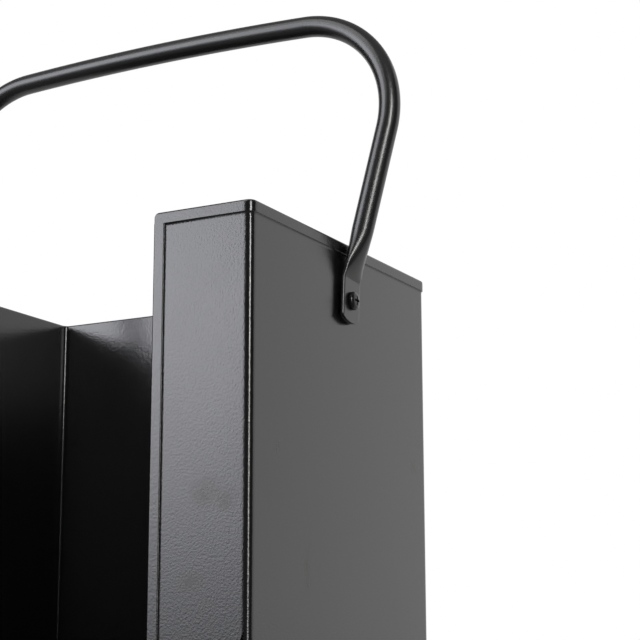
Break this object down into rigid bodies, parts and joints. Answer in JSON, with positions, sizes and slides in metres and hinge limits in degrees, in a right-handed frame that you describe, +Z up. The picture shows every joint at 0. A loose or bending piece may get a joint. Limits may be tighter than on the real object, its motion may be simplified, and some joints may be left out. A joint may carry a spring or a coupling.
{
  "type": "kindling box",
  "caption": "Tall open-fronted sheet-steel hearth box for kindling, with hemmed edges, a low front sill, rubber feet and a swinging bail handle of bent tube.",
  "frame": {"origin": "on the hearth, under the centre of the box", "axes": "+Z up, -Y out of the open front, +X to the right of someone who faces the front"},
  "size_m": [0.319, 0.2016, 0.4836],
  "materials": {
    "black_paint": "satin black powder coat, fine orange peel",
    "handle_paint": "satin black powder coat on tube",
    "black_screw": "black oxide, slightly glossy",
    "zinc_steel": "bright zinc plate",
    "black_nylon": "plain black nylon",
    "foot_rubber": "matte black moulded rubber"
  },
  "bodies": {
    "body": {"body_wrap": "black_paint", "front_panel": "black_paint", "base_pan": "black_paint", "foot_front_left": "foot_rubber", "foot_rivet_front_left": "zinc_steel", "foot_front_right": "foot_rubber", "foot_rivet_front_right": "zinc_steel", "foot_back_left": "foot_rubber", "foot_rivet_back_left": "zinc_steel", "foot_back_right": "foot_rubber", "foot_rivet_back_right": "zinc_steel", "pivot_screw_left": "black_screw", "spacer_washer_left": "black_nylon", "inner_washer_left": "zinc_steel", "lock_nut_left": "zinc_steel", "pivot_screw_right": "black_screw", "spacer_washer_right": "black_nylon", "inner_washer_right": "zinc_steel", "lock_nut_right": "zinc_steel"},
    "handle": {"bail_handle": "handle_paint"}
  },
  "joints": [
    {"name": "handle_swing", "type": "hinge", "parent": "body", "child": "handle", "pos_m": [0, 0, 0.308], "axis": [1, 0, 0], "range_deg": [-133, 141]}
  ]
}
